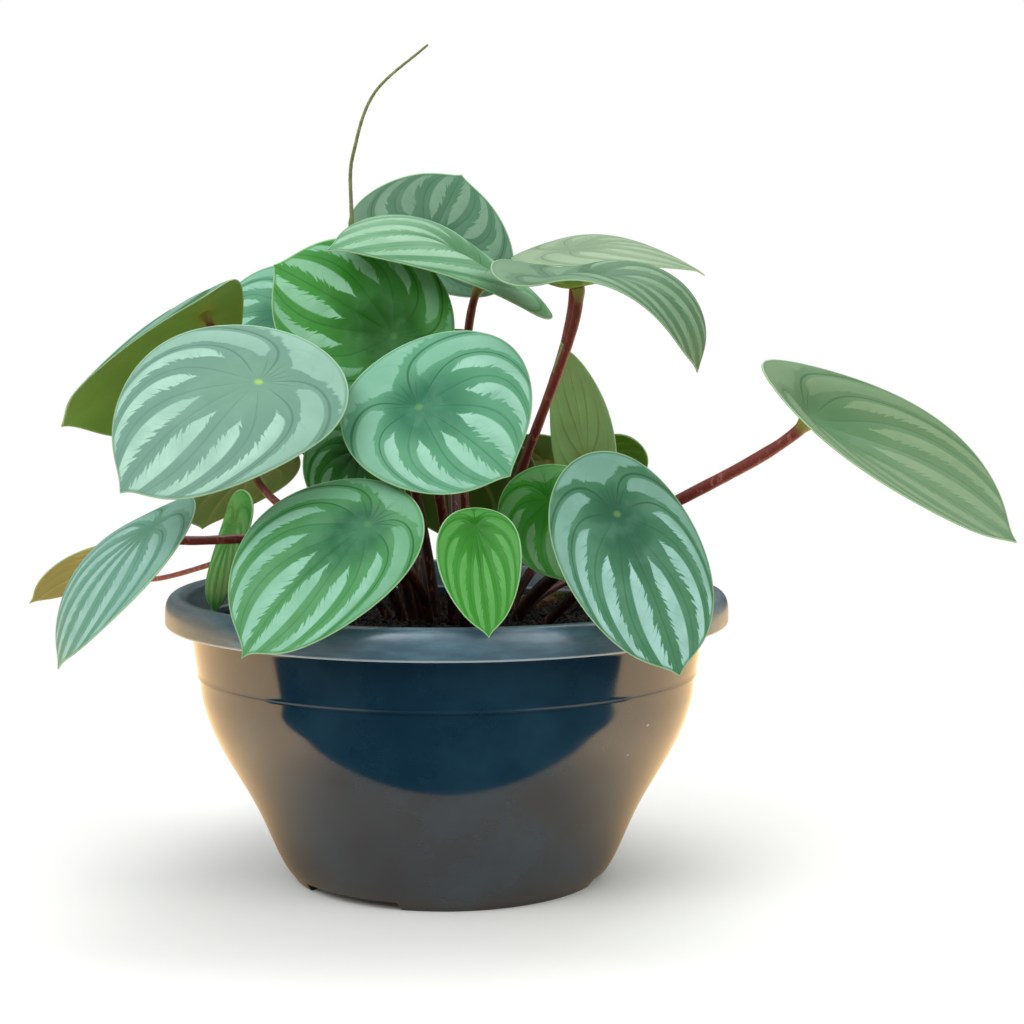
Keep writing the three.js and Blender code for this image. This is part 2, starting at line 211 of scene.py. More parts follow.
def arc(corner, start, end, steps):
    """Points of a rounded corner from start to end, without the start."""
    start, corner, end = Vector(start), Vector(corner), Vector(end)
    shares = [(i + 1) / steps for i in range(steps)]
    return [start * (1 - t) ** 2 + corner * 2 * t * (1 - t) + end * t ** 2 for t in shares]


def smooth_curve(points, steps=8):
    """A smooth curve through the points, in so many steps from each to the next."""
    points = [Vector(point) for point in points]
    ends = [points[0] * 2 - points[1]] + points + [points[-1] * 2 - points[-2]]
    curve = [points[0]]
    for before, start, end, after in zip(ends, ends[1:], ends[2:], ends[3:]):
        for i in range(steps):
            t = (i + 1) / steps
            curve.append(0.5 * (
                2 * start + (end - before) * t + (2 * before - 5 * start + 4 * end - after) * t ** 2
                + (3 * start - before - 3 * end + after) * t ** 3
            ))
    return curve


def pot_profile():
    """The wall's section: out under the floor, up the outside, over the lip and down the inside."""
    band_foot = Vector((RIDGE_RADIUS - BEVEL / 4, RIDGE_HEIGHT + BEVEL))
    band_top = Vector((BAND_RADIUS - BAND_STEP, BAND_TOP - BEVEL))
    hem = (LIP_RADIUS - HEM_ROUNDING, LIP_UNDERSIDE)
    lip_face = (LIP_RADIUS, LIP_UNDERSIDE + LIP_FACE)
    lip_top = (LIP_RADIUS - LIP_TOP_WIDTH, POT_HEIGHT)
    return [
        Vector((0, FLOOR_UNDERSIDE)),
        Vector((FOOT_INNER_RADIUS, FLOOR_UNDERSIDE)),
        Vector((FOOT_INNER_RADIUS + FOOT_BEVEL, 0)),
        Vector((FOOT_RADIUS - FOOT_BEVEL, 0)),
        *smooth_curve(((FOOT_RADIUS, BEVEL),) + POT_SIDE),
        Vector((RIDGE_RADIUS, RIDGE_HEIGHT - RIDGE_DEPTH)),
        Vector((RIDGE_RADIUS, RIDGE_HEIGHT)),
        *(band_foot.lerp(band_top, share) for share in (0, 0.06, 0.94, 1)),
        Vector((BAND_RADIUS, BAND_TOP)),
        Vector((LIP_RADIUS - HEM_WIDTH, LIP_UNDERSIDE)),
        Vector(hem),
        *arc((LIP_RADIUS, LIP_UNDERSIDE), hem, (LIP_RADIUS, LIP_UNDERSIDE + HEM_ROUNDING), 4),
        Vector(lip_face),
        *arc((LIP_RADIUS, POT_HEIGHT), lip_face, lip_top, 10),
        *arc((MOUTH_RADIUS, POT_HEIGHT), lip_top, (MOUTH_RADIUS - MOUTH_STEP, POT_HEIGHT - MOUTH_DROP), 8),
        Vector((BAND_RADIUS - WALL, BAND_TOP - MM)),
        *reversed(smooth_curve([(radius - WALL, height) for radius, height in POT_SIDE])),
        Vector((0, FLOOR_TOP)),
    ]


def turned(profile, segments):
    """A closed solid from a profile of radius and height that starts and ends on the axis."""
    shape = bmesh.new()
    rings = []
    for radius, height in profile:
        if radius == 0:
            rings.append([shape.verts.new((0, 0, height))] * segments)
            continue
        ring = []
        for i in range(segments):
            angle = 2 * math.pi * i / segments
            ring.append(shape.verts.new((radius * math.sin(angle), -radius * math.cos(angle), height)))
        rings.append(ring)
    for lower, upper in zip(rings, rings[1:]):
        for i in range(segments):
            j = (i + 1) % segments
            corners = [lower[i], lower[j], upper[j], upper[i]]
            shape.faces.new(list(dict.fromkeys(corners)))
    bmesh.ops.recalc_face_normals(shape, faces=shape.faces)
    return mesh_of(shape, "turned")


def cutters():
    """Three blocks for the notches in the foot ring, and a drill for each drain hole."""
    shape = bmesh.new()
    for degrees in NOTCH_ANGLES:
        block = bmesh.ops.create_cube(shape, size=1)["verts"]
        bmesh.ops.scale(shape, vec=(NOTCH_WIDTH, NOTCH_LENGTH, 2 * FLOOR_UNDERSIDE), verts=block)
        bmesh.ops.translate(shape, vec=(0, -FOOT_RADIUS - NOTCH_OUTSET, 0), verts=block)
        turn = Matrix.Rotation(math.radians(degrees), 3, "Z")
        bmesh.ops.rotate(shape, matrix=turn, verts=block)
    for i in range(DRAIN_HOLES):
        angle = 2 * math.pi * i / DRAIN_HOLES
        place = Vector((math.cos(angle), math.sin(angle), 0)) * DRAIN_CIRCLE_RADIUS
        drill = bmesh.ops.create_cone(
            shape, cap_ends=True, segments=DRAIN_SEGMENTS, radius1=DRAIN_RADIUS, radius2=DRAIN_RADIUS,
            depth=2 * FLOOR_TOP,
        )["verts"]
        bmesh.ops.translate(shape, vec=place + Vector((0, 0, FLOOR_UNDERSIDE)), verts=drill)
    return mesh_of(shape, "cutters")


def moulded_plastic():
    """Dark blue polypropylene with a wet gloss and a few pale nicks. The lip is scuffed and has dust on it,
    and its paler colour is partly a painted sky sheen; a pale line along the hem is a painted highlight.
    """
    material, tree, shader = new_material("dark blue moulded plastic", 0.12, Specular_IOR_Level=0.95)
    place = own_place(tree)
    height = next_node("ShaderNodeSeparateXYZ", {0: place}).outputs["Z"]
    dust = noise(place, 30, 4, 0.6)
    scuffs = noise(stretched(place, (70, 70, 260)), 1.0, 5, 0.65)
    on_lip = ramp(height, LIP_UNDERSIDE - MM / 2, LIP_UNDERSIDE + MM)
    plastic = mixed(ramp(dust, 0.3, 0.75), "#0f2a3b", "#19394b")
    # The lip's paler, streaked colour is partly dust and partly a painted sky sheen.
    lip_dust_and_sheen = mixed(ramp(scuffs, 0.35, 0.75, 0.3, 0.6), plastic, "#668a9a")
    colour = mixed(on_lip, plastic, lip_dust_and_sheen)
    # A thin pale line just above the hem: a painted highlight where light catches the hem's edge.
    off_hem_highlight = maths("ABSOLUTE", minus(height, LIP_UNDERSIDE + HEM_HIGHLIGHT))
    colour = mixed(ramp(off_hem_highlight, HEM_HIGHLIGHT / 2, HEM_HIGHLIGHT * 1.5, 0.75, 0), colour, "#a9b6bc")
    spots = next_node("ShaderNodeTexVoronoi", {"Vector": stretched(place, (60, 60, 110)), "Scale": 1})
    nicks = ramp(spots.outputs["Distance"], 0.04, 0.08, 1, 0)
    nicks = times(nicks, ramp(noise(place, 45, 0), 0.6, 0.64, 0, 0.55))
    joined(mixed(nicks, colour, "#9fb0bd"), shader, "Base Color")
    glossy = ramp(dust, 0.3, 0.75, 0.09, 0.16)
    joined(plus(glossy, times(on_lip, 0.2)), shader, "Roughness")
    joined(relief(noise(place, 90, 2), 0.02 * MM), shader, "Normal")
    return material


def evaluated(thing):
    """The mesh that an object's modifiers make of it. The object itself is removed."""
    result = thing.evaluated_get(bpy.context.evaluated_depsgraph_get())
    mesh = bpy.data.meshes.new_from_object(result)
    bpy.data.objects.remove(thing)
    return mesh


def make_planter():
    blank = placed("planter_blank", turned(pot_profile(), POT_SEGMENTS))
    tools = placed("planter_cutters", cutters())
    cut = blank.modifiers.new("cut", "BOOLEAN")
    cut.object = tools
    cut.solver = "EXACT"
    cut.use_self = False
    bpy.context.view_layer.update()
    finished = evaluated(blank)
    bpy.data.objects.remove(tools)
    finished.shade_smooth()
    finished.set_sharp_from_angle(angle=POT_CREASE)
    new_piece("planter", finished, "pot", moulded_plastic())


make_planter()


# The soil
# Dark, damp peat mix with bark fines in it, heaped a little towards the crown of the plant. Its upper face
# is broken up by crumbs and slivers that lie where they fell when the planter was filled.

SOIL_RADIUS = 91.6 * MM
SOIL_RIM_HEIGHT = 91 * MM
SOIL_MOUND = 4 * MM
SOIL_LUMP = 1.2 * MM
CRUMB_REACH = SOIL_RADIUS - 3 * MM
CRUMB_RINGS = 40
CRUMB_SPOKES = 96
CRUMB_SIZE = 1.5 * MM
CRUMBS_PER_AREA = 150000
CRUMB_SEED = 3
SLIVER_SHAPE = (2.4, 0.5, 0.35)
SLIVER_SIZE = 3.2 * MM
SLIVERS_PER_AREA = 9000
SLIVER_SEED = 8
LEAST_STRETCH = (0.45, 0.35, 0.4)
MOST_STRETCH = (1.5, 0.9, 0.6)


def soil_height(x, y):
    """Height of the soil at a place: mounded towards the middle and a little lumpy."""
    share = min(math.hypot(x, y) / SOIL_RADIUS, 1.0)
    lumps = math.sin(x / MM / 6 + 1) * math.cos(y / MM / 8) + 0.5 * math.sin((x - y) / MM / 4)
    return SOIL_RIM_HEIGHT + SOIL_MOUND * (1 - share ** 2) + SOIL_LUMP * lumps * (1 - share ** 4)


def peat():
    """Near-black peat, damp and matt, with browner fibres in it."""
    material, tree, shader = new_material("damp peat mix", 0.9)
    place = own_place(tree)
    coarse = noise(place, 320, 5, 0.7)
    fibres = noise(stretched(place, (150, 700, 300)), 1.0, 3)
    colour = mixed(ramp(coarse, 0.35, 0.75), "#0d0a08", "#2c2119")
    colour = mixed(ramp(fibres, 0.66, 0.76, 0.0, 0.6), colour, "#5a4029")
    joined(colour, shader, "Base Color")
    joined(relief(noise(place, 900, 4, 0.7), 0.6 * MM), shader, "Normal")
    return material


def new_maker(name, numbers):
    """An empty geometry tree with a surface coming in and a number input for each given size."""
    tree = bpy.data.node_groups.new(name, "GeometryNodeTree")
    tree.interface.new_socket("Geometry", in_out="INPUT", socket_type="NodeSocketGeometry")
    tree.interface.new_socket("Geometry", in_out="OUTPUT", socket_type="NodeSocketGeometry")
    for number in numbers:
        tree.interface.new_socket(number, in_out="INPUT", socket_type="NodeSocketFloat")
    coming_in = tree.nodes.new("NodeGroupInput")
    return tree, coming_in.outputs


def finish_maker(tree, geometry, material):
    real = add_node(tree, "GeometryNodeRealizeInstances", {"Geometry": geometry})
    painted = add_node(tree, "GeometryNodeSetMaterial", {
        "Geometry": real.outputs["Geometry"], "Material": material,
    })
    add_node(tree, "NodeGroupOutput", {0: painted.outputs["Geometry"]})


def made_by(tree, start, numbers):
    """The plain mesh that a geometry tree makes of a starting mesh, with its inputs given by name."""
    thing = placed(start.name, start)
    maker = thing.modifiers.new("maker", "NODES")
    maker.node_group = tree
    for item in tree.interface.items_tree:
        if item.in_out == "INPUT" and item.name in numbers:
            maker[item.identifier] = numbers[item.name]
    return evaluated(thing)


def both_of(first, second):
    """Two geometries as one."""
    node = next_node("GeometryNodeJoinGeometry", {0: first})
    joined(second, node, 0)
    return node.outputs[0]


def spread(surface, per_area, seed, **more):
    """Spots at random over a surface."""
    return next_node("GeometryNodeDistributePointsOnFaces", {
        "Mesh": surface, "Density": per_area, "Seed": seed, **more,
    }).outputs


def at_random(tree, least, most, seed):
    """Three numbers for each spot, each at random between its least and its most."""
    ends = {0: least, 1: most, "Seed": seed}
    return add_node(tree, "FunctionNodeRandomValue", ends, data_type="FLOAT_VECTOR").outputs[0]


def strewn(surface, stock, per_area, size, seed):
    """Copies of the stock piece strewn over a surface, each turned and stretched at random."""
    tree = surface.node.id_data
    stretch = at_random(tree, LEAST_STRETCH, MOST_STRETCH, seed + 2)
    scale = next_node("ShaderNodeVectorMath", {0: stretch, "Scale": size}, operation="SCALE")
    copies = next_node("GeometryNodeInstanceOnPoints", {
        "Points": spread(surface, per_area, seed)["Points"], "Instance": stock.outputs["Mesh"],
        "Rotation": at_random(tree, (0, 0, 0), (math.tau,) * 3, seed + 1), "Scale": scale.outputs[0],
    })
    return copies.outputs["Instances"]


def net_faces(rings, spokes):
    """Faces of a round net of points: a fan round the first, then a ring of quads outside each ring."""
    def corner(ring, spoke):
        return 1 + ring * spokes + spoke % spokes

    faces = [(0, corner(0, i), corner(0, i + 1)) for i in range(spokes)]
    for ring in range(rings - 1):
        for i in range(spokes):
            outer = (corner(ring + 1, i), corner(ring + 1, i + 1))
            faces.append((corner(ring, i), *outer, corner(ring, i + 1)))
    return faces


def soil_face():
    """The part of the soil's upper face that crumbs lie on, as a plain sheet."""
    points = [(0, 0, soil_height(0, 0))]
    for ring in range(1, CRUMB_RINGS + 1):
        radius = CRUMB_REACH * ring / CRUMB_RINGS
        for spoke in range(CRUMB_SPOKES):
            angle = 2 * math.pi * spoke / CRUMB_SPOKES
            x, y = radius * math.cos(angle), radius * math.sin(angle)
            points.append((x, y, soil_height(x, y)))
    mesh = bpy.data.meshes.new("soil_face")
    mesh.from_pydata(points, [], net_faces(CRUMB_RINGS, CRUMB_SPOKES))
    return mesh


def crumb_maker(material):
    tree, given = new_maker("strewn crumbs and slivers", ("Crumb Size", "Crumbs", "Sliver Size", "Slivers"))
    ground = given["Geometry"]
    crumb = add_node(tree, "GeometryNodeMeshIcoSphere", {"Radius": 1.0, "Subdivisions": 1})
    sliver = add_node(tree, "GeometryNodeMeshCube", {"Size": SLIVER_SHAPE})
    crumbs = strewn(ground, crumb, given["Crumbs"], given["Crumb Size"], CRUMB_SEED)
    slivers = strewn(ground, sliver, given["Slivers"], given["Sliver Size"], SLIVER_SEED)
    finish_maker(tree, both_of(crumbs, slivers), material)
    return tree


def make_soil():
    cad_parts["soil"].data.materials.clear()
    damp = peat()
    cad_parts["soil"].data.materials.append(damp)
    crumbs = made_by(crumb_maker(damp), soil_face(), {
        "Crumb Size": CRUMB_SIZE, "Crumbs": CRUMBS_PER_AREA,
        "Sliver Size": SLIVER_SIZE, "Slivers": SLIVERS_PER_AREA,
    })
    new_piece("soil_crumbs", crumbs)


make_soil()


# The leaf blades
# Thick, waxy, teardrop blades, each held by its stalk a little inside the margin. Nine main veins leave
# that navel like the meridians of a melon and meet at the tip, sunk between silver bands that puff up.

BLADE_THICKNESS = 0.8 * MM
BLADE_SPOKES = 132
BLADE_RINGS = 44
RIM_THINNING = 0.45
TIP_SHARE = 0.07
TIP_SPREAD = 0.18
TAPER_SPREAD = 0.32
DISH_SHARE = 0.4
PUFF_SHARE = 0.25
RIPPLE = 0.8 * MM
VEIN_STEP = math.radians(40)
VEIN_SWEEP = 0.61
VEIN_DEPTH = 0.4 * MM
WAX_DEPTH = 0.06 * MM
SKIN_DEPTH = 0.05 * MM

# The pattern counts its place in veins from the midrib, and the place of a band's two edges in shares of the
# way from one vein to the next. A silver band opens narrow near the navel. Side veins are in millimetres.
HEEL_VEINS = (2.2, 3.4)
SIDE_VEIN_STEP = 3.4
SIDE_VEIN_SLANT = 11.0
SIDE_VEIN_WANDER = 2.2
TOOTH_DEPTH = 0.14
RAGGEDNESS = 0.35
BAND_OPENING = 0.3
BAND_WHERE_IT_OPENS = (0.6, 0.62)
BAND_AT_RIM = (0.3, 0.79)
BAND_SOFTNESS = 0.06

# How blades are coloured: deep round the navel, green along the veins, silver between them and under on the
# other side. star is the share of the way to the rim at which the silver starts, faint how weak the silver
# is, and navel how bright the spot over the stalk is.
USUAL_LOOK = dict(under="#5f8a34", star=0.26, faint=0, navel=0)
LOOKS = dict(
    grown=dict(deep="#1c5c3a", green="#45894e", silver="#8cc0a8", navel=0.1),
    greyed=dict(deep="#6d9681", green="#67917f", silver="#a5cdba", navel=0.9),
    mint=dict(deep="#25684a", green="#559571", silver="#96c8b2", navel=0.2),
    dark=dict(deep="#0a5400", green="#3a8832", silver="#8cc2a0", under="#4b6e23", star=0.34, navel=0.1),
    backed=dict(deep="#0f470c", green="#24661b", silver="#9cc3ba", under="#86ab48", star=0.3, navel=0.1),
    young=dict(deep="#226e10", green="#2f8020", silver="#66a85c", under="#5c8a18", star=0.2, faint=0.3),
    # The next colouring is a lighter copy of the young one: painted light on low_right, which the leaves
    # above it shade.
    young_painted_light=dict(deep="#2c8c10", green="#46a338", silver="#92c893", under="#5c8a18", faint=0.1),
    frosted=dict(deep="#25583f", green="#3f7553", silver="#98c2b9", navel=0.25),
    streaked=dict(deep="#4e7f68", green="#5c8f7a", silver="#98bfb4", star=0.06, faint=0.1),
    # arching is a darker, more olive copy of the shaded colouring: painted shade on right_front.
    arching=dict(deep="#35613d", green="#416c44", silver="#7c9e7b", under="#6f8a34", star=0.2, faint=0.2),
    # worn is a tired, brownish colouring, made paler with painted light on right_back.
    worn=dict(deep="#6c8560", green="#76906a", silver="#9bb392", under="#7aa35a", star=0.2, faint=0.3),
    shaded=dict(deep="#3f6b50", green="#4c785b", silver="#7fa288", under="#5f7434", faint=0.2),
    lit=dict(deep="#437d4c", green="#538c60", silver="#93bb9b", under="#7aa35a", faint=0.15),
    # mottled's pale under colour is painted light on the underside that folded_right shows; its upper
    # colours are the leaves' own mottling.
    mottled=dict(deep="#4c764b", green="#5b7d56", silver="#8aa07b", under="#b4e096", star=0.2, faint=0.4),
    yellowing=dict(deep="#8a8a48", green="#8a8a48", silver="#a0a070", under="#9e914b", star=0.3, faint=0.6),
)

# Every leaf, in millimetres and degrees. navel and tip are places, face is the way its upper side looks, and
# width is across the blade. droop is the angle that its midrib bends through from navel to tip, and fall the
# angle that each half hangs below the midrib. heel is the length behind the navel as a share of that before
# it, bend the share of the droop that the heel has, taper how much the tip is drawn in, egg how much broader
# the heel half is, sway how far the midrib curves to its left, lop how much broader its left half is, and
# dish how deep the navel lies. The petiole stands in the soil at root, is stem thick, rises by the share
# rise of its reach, swings out by sweep there and nears the blade from the share approach of it.
USUAL_LEAF = dict(
    fall=12, heel=0.42, bend=0.25, taper=0.22, egg=0.06, sway=0, lop=0, dish=1.5,
    stem=1.7, rise=0.4, sweep=(0, 0), approach=0.3, look="grown",
)
LEAF_ROWS = dict(
    front_left=dict(
        navel=(-62, -80, 185.5), tip=(-105.5, -92, 149), face=(-0.15, -0.82, 0.55), width=67,
        droop=25, taper=0.3, sway=-0.3, root=(-8, -6), look="greyed",
    ),
    front_centre=dict(
        navel=(-9.5, -78, 177), tip=(20.5, -88, 154), face=(0.05, -0.9, 0.42), width=66,
        droop=20, heel=0.6, sway=0.1, lop=0.14, root=(2, -10), look="mint",
    ),
    mid_left=dict(
        navel=(-18, -45, 200), tip=(-60, -42, 224), face=(0, -0.92, 0.38), width=60,
        droop=20, fall=10, root=(-4, 0), look="dark",
    ),
    top_arched=dict(
        navel=(20, -10, 227), tip=(-41, -52, 228), face=(0.15, -0.5, 0.86), width=56,
        droop=60, fall=28, heel=0.36, egg=0.3, dish=11, approach=0.1, root=(6, 2), look="lit",
    ),
    top_back=dict(
        navel=(-7, 40, 235), tip=(6, 51, 263), face=(0.05, -0.85, 0.4), width=66,
        droop=15, fall=14, heel=0.5, egg=0.3, root=(4, 14), look="shaded",
    ),
    right_front=dict(
        navel=(43, -50, 223.5), tip=(85.5, -62, 187.5), face=(0.35, -0.3, 0.89), width=57,
        droop=105, fall=8, heel=0.44, bend=-0.7, dish=7, approach=0.12, root=(14, -2), look="arching",
    ),
    right_back=dict(
        navel=(47, 26, 234), tip=(99, 31, 223), face=(0, -0.22, 0.97), width=58,
        droop=45, fall=10, root=(14, 12), look="worn",
    ),
    upper_left=dict(
        navel=(-92, 20, 209), tip=(-143, 8, 166), face=(-0.55, 0.46, 0.66), width=75,
        droop=26, fall=58, heel=0.26, sway=-0.42, lop=0.08, root=(-12, 8), look="backed",
    ),
    behind_left=dict(
        navel=(-62, 55, 211), tip=(-100, 62, 190), face=(-0.1, -0.8, 0.6), width=50,
        droop=20, fall=10, root=(-6, 12), look="mint",
    ),
    low_left=dict(
        navel=(-101, -60, 136), tip=(-130.5, -75, 89), face=(-0.73, -0.46, 0.5), width=50,
        droop=52, heel=0.3, sway=0.2, lop=0.08, rise=0.6, approach=0.15, root=(-16, -4), look="streaked",
    ),
    far_left=dict(
        navel=(-134, 102, 109), tip=(-180, 119, 86), face=(-0.35, 0.75, 0.55), width=25,
        droop=20, taper=0.4, stem=1.1, rise=0.6, root=(-14, 16), look="yellowing",
    ),
    inner_left=dict(
        navel=(-78, -20, 132), tip=(-84, -26, 101), face=(-0.85, -0.4, 0.3), width=32,
        droop=15, root=(-20, 2), look="young",
    ),
    low_front_left=dict(
        navel=(-26, -92, 139.5), tip=(-66, -107, 97.5), face=(0, -0.75, 0.65), width=53,
        droop=20, fall=14, heel=0.27, taper=0.55, egg=0.1, sway=-0.15, lop=-0.1, root=(-6, -14),
    ),
    small_centre=dict(
        navel=(9, -94, 139), tip=(13, -110, 104), face=(0, -0.85, 0.5), width=27,
        droop=15, fall=-14, heel=0.16, egg=0.25, root=(6, -16), look="young",
    ),
    low_front_right=dict(
        navel=(56, -85, 142), tip=(74.5, -107, 91), face=(0.12, -0.8, 0.6), width=51,
        droop=25, fall=18, sweep=(41, -12), root=(24, -8), look="frosted",
    ),
    low_right=dict(
        navel=(35, -53, 144), tip=(41, -65, 116), face=(-0.1, -0.85, 0.5), width=38,
        droop=15, fall=10, egg=0.15, root=(12, -6), look="young_painted_light",
    ),
    folded_right=dict(
        navel=(54, 15, 152), tip=(43, 15, 198), face=(0.45, 0.83, 0.3), width=27,
        droop=15, fall=25, egg=0.25, taper=0.4, root=(20, 8), look="mottled",
    ),
    olive_right=dict(
        navel=(58, 40, 150), tip=(78, 45, 143), face=(0.3, 0.8, 0.5), width=40,
        droop=15, fall=15, root=(22, 14), look="young",
    ),
    far_right=dict(
        navel=(123, -82, 177), tip=(183, -106, 134), face=(0.44, -0.46, 0.77), width=63,
        droop=-10, fall=-20, dish=6, taper=0.05, heel=0.3, egg=-0.1, sway=0.08, lop=0.06,
        stem=2.2, rise=0.25, approach=0.18, root=(22, 0), look="mottled",
    ),
    behind_centre=dict(
        navel=(4, -30, 188), tip=(7, -42, 158), face=(0, -0.8, 0.6), width=44,
        droop=15, fall=10, heel=0.5, root=(8, -4), look="dark",
    ),
    inner_centre=dict(
        navel=(-30, -52, 162), tip=(-33, -66, 136), face=(0, -0.8, 0.6), width=38,
        droop=15, fall=10, root=(-12, -12), look="dark",
    ),
    back_left=dict(
        navel=(-55, 84, 180), tip=(-80, 104, 148), face=(-0.4, 0.6, 0.7), width=56,
        droop=30, root=(-8, 22),
    ),
    back_centre=dict(
        navel=(6, 76, 152), tip=(10, 104, 110), face=(0.05, 0.8, 0.6), width=60,
        droop=30, root=(4, 24), look="dark",
    ),
    back_right=dict(
        navel=(42, 78, 150), tip=(60, 104, 118), face=(0.4, 0.7, 0.6), width=54,
        droop=25, root=(16, 22),
    ),
    low_right_back=dict(
        navel=(72, 48, 122), tip=(96, 62, 98), face=(0.6, 0.4, 0.7), width=52,
        droop=25, root=(26, 16),
    ),
    low_left_back=dict(
        navel=(-78, 55, 148), tip=(-100, 72, 122), face=(-0.6, 0.5, 0.65), width=54,
        droop=25, root=(-16, 22),
    ),
    low_back=dict(
        navel=(-30, 99, 135), tip=(-45, 117, 98), face=(-0.2, 0.8, 0.55), width=52,
        droop=25, root=(-4, 28), look="dark",
    ),
)
LEAVES = {name: USUAL_LEAF | row for name, row in LEAF_ROWS.items()}


def unit(vector):
    return vector / np.linalg.norm(vector)


def blade_shape(leaf):
    """A leaf with its frame and sizes: along points to the tip, across to its left and up off its face."""
    navel = np.array(leaf["navel"]) * MM
    chord = np.array(leaf["tip"]) * MM - navel
    droop = math.radians(leaf["droop"])
    front = np.linalg.norm(chord) * droop / 2 / math.sin(droop / 2)
    chord = unit(chord)
    face = np.array(leaf["face"], dtype=float)
    face = unit(face - chord * face.dot(chord))
    along = chord * math.cos(droop / 2) + face * math.sin(droop / 2)
    up = face * math.cos(droop / 2) - chord * math.sin(droop / 2)
    return leaf | dict(
        navel=navel, along=along, up=up, across=np.cross(up, along), front=front, droop=droop,
        heel=front * leaf["heel"], half=leaf["width"] * MM / 2, fall=math.radians(leaf["fall"]),
        dish=leaf["dish"] * MM, phase=leaf["navel"][0],
    )


def outline(shape, angle):
    """The blade's egg-shaped outline with its drawn-out tip, before it is bent. Angle 0 is the tip."""
    body = (shape["front"] * (1 - TIP_SHARE) + shape["heel"]) / 2
    point = TIP_SHARE * shape["front"] * np.exp(-np.abs(angle) / TIP_SPREAD)
    waist = 1 - shape["taper"] * np.exp(-((angle / TAPER_SPREAD) ** 2))
    forward = body - shape["heel"] + body * np.cos(angle) + point
    half = shape["half"] * (1 + shape["lop"] * np.sign(angle))
    sideways = half * np.sin(angle) * (1 - shape["egg"] * np.cos(angle)) * waist
    return forward, sideways


def vein_angle(share, angle):
    """The angle at which the vein through each point left the navel: veins sweep round towards the tip."""
    leaving = np.linspace(0, math.pi, 181)
    found = np.zeros_like(angle)
    for ring in np.unique(share):
        there = share == ring
        sweep = VEIN_SWEEP * ring ** 4 * (1 - (leaving / math.pi) ** 6)
        found[there] = np.interp(np.abs(angle[there]), leaving * (1 - sweep), leaving)
    return found


def puff(share, angle):
    """How far the blade stands up between its veins, or sinks along them."""
    between = np.abs(np.sin(vein_angle(share, angle) / VEIN_STEP * math.pi))
    fading = (1 - np.exp(-((share / PUFF_SHARE) ** 2))) * (1 - share ** 6)
    return VEIN_DEPTH * (between ** 0.7 - 0.6) * fading


def blade_points(shape, share, angle, lift):
    """The bent blade's points, each at a share of the way from navel to outline, lifted off its middle."""
    rim_forward, rim_sideways = outline(shape, angle)
    forward = rim_forward * share
    curving = shape["sway"] * forward * (1 - np.maximum(forward, 0) / shape["front"])
    sideways = rim_sideways * share + curving
    droop = np.where(rim_forward > 0, shape["droop"], shape["droop"] * shape["bend"])
    turn = (droop * forward / shape["front"])[..., None]
    lean = (shape["fall"] * sideways / shape["half"])[..., None]
    bend = (shape["front"] / droop)[..., None]
    arch = shape["half"] / shape["fall"]
    normal = shape["up"] * np.cos(turn) + shape["along"] * np.sin(turn)
    out = normal * np.cos(lean) + shape["across"] * np.sin(lean)
    dish = -shape["dish"] * np.exp(-((share / DISH_SHARE) ** 2))
    ripple = RIPPLE * share ** 3 * np.sin(3 * angle + shape["phase"])
    height = (dish + ripple + puff(share, angle) + lift)[..., None]
    return (
        shape["navel"] + shape["along"] * np.sin(turn) * bend + shape["up"] * (np.cos(turn) - 1) * bend
        + shape["across"] * np.sin(lean) * arch + normal * (np.cos(lean) - 1) * arch + out * height
    )


def blade_mesh(name, leaf):
    """Two nets from the navel out, one for each face, closed round a thin margin."""
    shape = blade_shape(leaf)
    share, angle = np.meshgrid(
        np.linspace(0, 1, BLADE_RINGS + 1)[1:] ** 0.9,
        np.linspace(-math.pi, math.pi, BLADE_SPOKES, endpoint=False), indexing="ij",
    )
    share = np.append(0, share.ravel())
    angle = np.append(0, angle.ravel())
    half_thick = BLADE_THICKNESS / 2 * (1 - RIM_THINNING * share ** 12)
    points = np.concatenate([blade_points(shape, share, angle, lift) for lift in (half_thick, -half_thick)])
    under = len(share)
    upper_faces = net_faces(BLADE_RINGS, BLADE_SPOKES)
    under_faces = [tuple(under + corner for corner in reversed(face)) for face in upper_faces]
    margin = range(under - BLADE_SPOKES, under)
    rim_faces = [(i, under + i, under + j, j) for i, j in zip(margin, [*margin[1:], margin[0]])]
    mesh = bpy.data.meshes.new(name)
    mesh.from_pydata(points.tolist(), [], upper_faces + under_faces + rim_faces)
    mesh.shade_smooth()
    sides = [0] * len(upper_faces) + [1] * len(under_faces) + [0] * len(rim_faces)
    mesh.polygons.foreach_set("material_index", sides)
    keep_pattern(mesh, leaf, share, angle, np.hypot(*outline(shape, angle)) / MM)
    return mesh


def keep_pattern(mesh, leaf, share, angle, reach):
    """Keeps with each point of a blade what its pattern and colours go by."""
    look = USUAL_LOOK | LOOKS[leaf["look"]]
    veins = vein_angle(share, angle) / VEIN_STEP
    seed = leaf["navel"][0] / 9
    store(mesh, "vein_place", np.stack([veins, share * reach, np.sign(angle)], axis=1))
    store(mesh, "rim_place", np.stack([share - look["star"], (1 - share) * reach, share], axis=1))
    store(mesh, "leaf_kind", np.tile([look["faint"], seed, look["navel"]], (len(share), 1)))
    for shade in ("deep", "green", "silver", "under"):
        store(mesh, "leaf_" + shade, np.tile(linear(look[shade])[:3], (len(share), 1)))


def store(mesh, name, values):
    """Keeps a value for each point of a blade, the same on both of its faces."""
    layer = mesh.attributes.new(name, "FLOAT_VECTOR", "POINT")
    layer.data.foreach_set("vector", np.concatenate([values, values]).astype(np.float32).ravel())


def stored(tree, name):
    """The three values kept under a name."""
    return add_node(tree, "ShaderNodeSeparateXYZ", {0: stored_shade(tree, name)}).outputs


